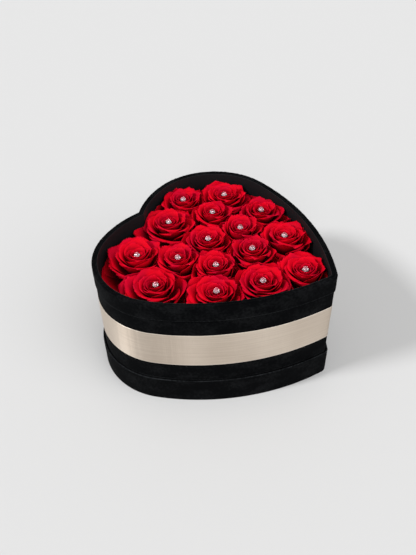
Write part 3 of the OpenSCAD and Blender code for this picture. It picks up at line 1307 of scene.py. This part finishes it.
@dataclass(frozen=True)
class Studio:
    """The floor, the lamps and the camera."""

    floor_tone: float = 0.62
    surround: float = 0.5
    horizon: float = 0.82
    lamps: tuple[Lamp, ...] = (
        Lamp("key", 137.0, 40.0, 10.0, 1.9), Lamp("front", 252.0, 50.0, 60.0, 1.5),
        Lamp("low", 203.0, 25.0, 8.0, 0.3))
    floor_reach: float = 40.0
    camera_at: Triple = (-0.52785, -0.2823, 0.63053)
    camera_turn_deg: Triple = (50.609409, 3.51939, -57.521102)
    focal_px: float = 570.34
    middle_px: Pair = (170.0, 260.0)
    frame_px: Pair = (416.0, 555.0)
    sensor: float = 36.0
    clip: Pair = (0.01, 50.0)

    def build(self) -> None:
        """Makes the whole surrounding."""
        self.make_floor()
        self.make_lamps()
        self.make_camera()
        bpy.context.scene.view_settings.view_transform = "Standard"

    def make_floor(self) -> None:
        """A plain pale floor."""
        reach = self.floor_reach
        mesh = bpy.data.meshes.new("floor")
        mesh.from_pydata([(-reach, -reach, 0), (reach, -reach, 0), (reach, reach, 0),
                          (-reach, reach, 0)], [], [(0, 1, 2, 3)])
        floor = put("floor", mesh)
        paint = Paint("floor")
        paint.set(Base_Color=(self.floor_tone,) * 3, Roughness=1.0, Specular_IOR_Level=0.0)
        mesh.materials.append(paint.material)

    def make_lamps(self) -> None:
        """Soft light: a key from behind, a broad front light, a low fill, a pale surround."""
        world = bpy.data.worlds.new("surround")
        bpy.context.scene.world = world
        world.use_nodes = True
        graph = Graph(world.node_tree)
        background = world.node_tree.nodes["Background"]
        graph.feed(background.inputs["Color"], (1.0, 1.0, 1.0))
        rays = graph.add("ShaderNodeLightPath").outputs
        seen = Num(graph, rays["Is Camera Ray"])
        for ray in ("Is Glossy Ray", "Is Transmission Ray"):
            seen = seen.math("MAXIMUM", Num(graph, rays[ray]))
        graph.feed(background.inputs["Strength"], seen.ramp(0.0, 1.0, self.surround, self.horizon))
        for lamp in self.lamps:
            light = bpy.data.lights.new(lamp.name, "SUN")
            light.angle = math.radians(lamp.width)
            light.energy = lamp.power
            turn, rise = math.radians(lamp.azimuth), math.radians(lamp.height)
            way = Vector((math.cos(turn) * math.cos(rise), math.sin(turn) * math.cos(rise),
                          math.sin(rise)))
            put(lamp.name, light).rotation_euler = way.to_track_quat("Z", "Y").to_euler()

    def make_camera(self) -> None:
        """The camera at the photograph's viewpoint."""
        lens = bpy.data.cameras.new("camera")
        camera = put("camera", lens)
        camera.location = self.camera_at
        camera.rotation_euler = [math.radians(turn) for turn in self.camera_turn_deg]
        width, height = self.frame_px
        lens.sensor_width = self.sensor
        lens.lens = self.focal_px / height * self.sensor
        lens.shift_x = (width / 2 - self.middle_px[0]) / height
        lens.shift_y = (self.middle_px[1] - height / 2) / height
        lens.clip_start, lens.clip_end = self.clip
        bpy.context.scene.camera = camera


@dataclass(frozen=True)
class Packed:
    """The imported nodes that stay, and the finish of each, by the start of its name."""

    nodes: dict[str, bpy.types.Object]
    finishes: dict[str, Plain] = field(default_factory=lambda: {
        "base_board": Plain("grey_board", (0.02, 0.02, 0.02), (0.04, 0.04, 0.04), 0.85),
        "liner_tray": Plain("clear_liner", (0.04, 0.05, 0.05), (0.06, 0.07, 0.07), 0.4),
        # The foam's green is darkened to nearly black, as painted shade in the gaps between the
        # roses.
        "foam_block": Plain("foam_painted_shade", (0.003, 0.006, 0.004), (0.008, 0.014, 0.009), 0.95,
                            grain=1500.0, depth=0.6 * MM),
        "stem_": Plain("green_stem", (0.05, 0.11, 0.025), (0.09, 0.17, 0.04), 0.6),
        "pin_": Plain("steel_pin", (0.75, 0.75, 0.77), (0.8, 0.8, 0.82), 0.25, grain=900.0,
                      depth=0.01 * MM, metallic=1.0)})

    def dress(self) -> None:
        """Gives every node that stays its finish."""
        for start, finish in self.finishes.items():
            material = finish.material()
            for name, node in self.nodes.items():
                if name.startswith(start):
                    node.data.materials.clear()
                    node.data.materials.append(material)
                    log.info("%s: %s", name, material.name)


def main() -> None:
    """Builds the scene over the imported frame."""
    logging.basicConfig(level=logging.INFO, format="%(message)s")
    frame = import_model()
    velvet = Velvet().material()
    outline = HeartOutline()
    sweep = Sweep(outline)
    LidTray(sweep, velvet).build()
    paper = Plain("lining_paper", (0.0056, 0.0062, 0.0074), (0.0078, 0.0085, 0.0098), 0.55,
                  gloss=0.2).material()
    Casing(sweep, velvet, paper).build()
    Ribbon(sweep, Satin().material()).build()
    Bouquet(outline, Petal().material()).build()
    Stones(Crystal().material()).build()
    Packed(frame["nodes"]).dress()
    Studio().build()


if __name__ == "__main__":
    main()
